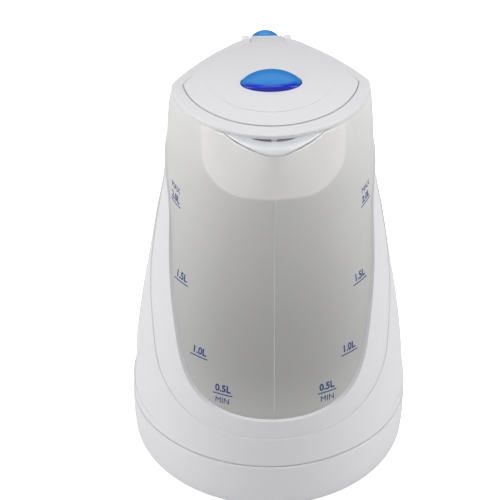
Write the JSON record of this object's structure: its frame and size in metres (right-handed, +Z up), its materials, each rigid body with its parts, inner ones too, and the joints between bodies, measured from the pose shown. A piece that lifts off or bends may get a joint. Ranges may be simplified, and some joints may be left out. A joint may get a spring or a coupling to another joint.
{
  "type": "electric kettle",
  "caption": "Cordless jug kettle with frosted water vessel, white shell, hinged lid with release button, spout, rear handle with rocker switch, and round power base.",
  "frame": {"origin": "on the vertical axis of jug and base, in the plane that the base stands on", "axes": "+Z up, -Y towards the spout, +Y towards the handle, +X across"},
  "size_m": [0.162, 0.2022, 0.2506],
  "materials": {
    "white_shell": "white moulded plastic with a soft satin gloss",
    "frosted_jug": "frosted translucent plastic",
    "blue_gloss": "glossy translucent blue plastic",
    "white_inner": "white matt plastic",
    "dark_inner": "black heat-resistant plastic",
    "steel": "brushed stainless steel",
    "aluminium": "cast aluminium",
    "brass": "nickelled brass",
    "seal_rubber": "translucent silicone",
    "foot_rubber": "grey rubber",
    "mesh": "fine nylon mesh"
  },
  "bodies": {
    "base": {"base_top_cover": "white_shell", "base_bottom_plate": "white_inner", "base_foot_ring": "foot_rubber", "base_screws": "steel", "connector_post": "dark_inner", "connector_contacts": "brass", "cord_inlet_bush": "white_inner", "cord_clamp": "white_inner"},
    "kettle": {"jug": "frosted_jug", "outer_shell": "white_shell", "collar": "white_shell", "filter_frame": "white_inner", "filter_mesh": "mesh", "heating_plate": "steel", "plate_seal": "seal_rubber", "clamp_ring": "white_inner", "clamp_screws": "steel", "heat_spreader": "aluminium", "heating_element": "aluminium", "control_unit": "dark_inner", "thermostat_discs": "steel", "bottom_cover": "white_inner", "bottom_screws": "steel", "handle_outer": "white_shell", "handle_grip": "white_shell", "handle_screws": "steel", "steam_tube": "seal_rubber", "lid_hinge_pin": "steel", "switch_housing": "dark_inner", "switch_pin": "steel"},
    "lid": {"lid_cover": "white_shell", "lid_liner": "white_inner", "lid_seal": "seal_rubber", "button_spring": "steel"},
    "lid_button": {"lid_button": "blue_gloss"},
    "latch_left": {"latch_left": "white_inner"},
    "latch_right": {"latch_right": "white_inner"},
    "switch": {"switch_paddle": "blue_gloss"},
    "contact_slider": {"contact_slider": "dark_inner"}
  },
  "joints": [
    {"name": "kettle_lift", "type": "slide", "parent": "base", "child": "kettle", "axis": [0, 0, 1], "range_m": [0, 0.08]},
    {"name": "lid_hinge", "type": "hinge", "parent": "kettle", "child": "lid", "pos_m": [0, 0.057, 0.2304], "axis": [-1, 0, 0], "range_deg": [0, 78]},
    {"name": "button_press", "type": "slide", "parent": "lid", "child": "lid_button", "axis": [0, 0, -1], "range_m": [0, 0.0025], "stiffness_N_per_m": 400, "springref_m": -0.001, "deforming": ["button_spring"]},
    {"name": "latch_left_slide", "type": "slide", "parent": "lid", "child": "latch_left", "axis": [1, 0, 0], "range_m": [0, 0.00201]},
    {"name": "latch_right_slide", "type": "slide", "parent": "lid", "child": "latch_right", "axis": [-1, 0, 0], "range_m": [0, 0.00201]},
    {"name": "switch_tilt", "type": "hinge", "parent": "kettle", "child": "switch", "pos_m": [0, 0.075, 0.208], "axis": [-1, 0, 0], "range_deg": [0, 16]},
    {"name": "contact_slide", "type": "slide", "parent": "kettle", "child": "contact_slider", "axis": [0, -1, 0], "range_m": [0, 0.00082]}
  ],
  "couplings": [
    {"joint": "latch_left_slide", "follows": "button_press", "ratio": 0.8},
    {"joint": "latch_right_slide", "follows": "button_press", "ratio": 0.8},
    {"joint": "contact_slide", "follows": "switch_tilt", "m_per_rad": 0.00286}
  ]
}
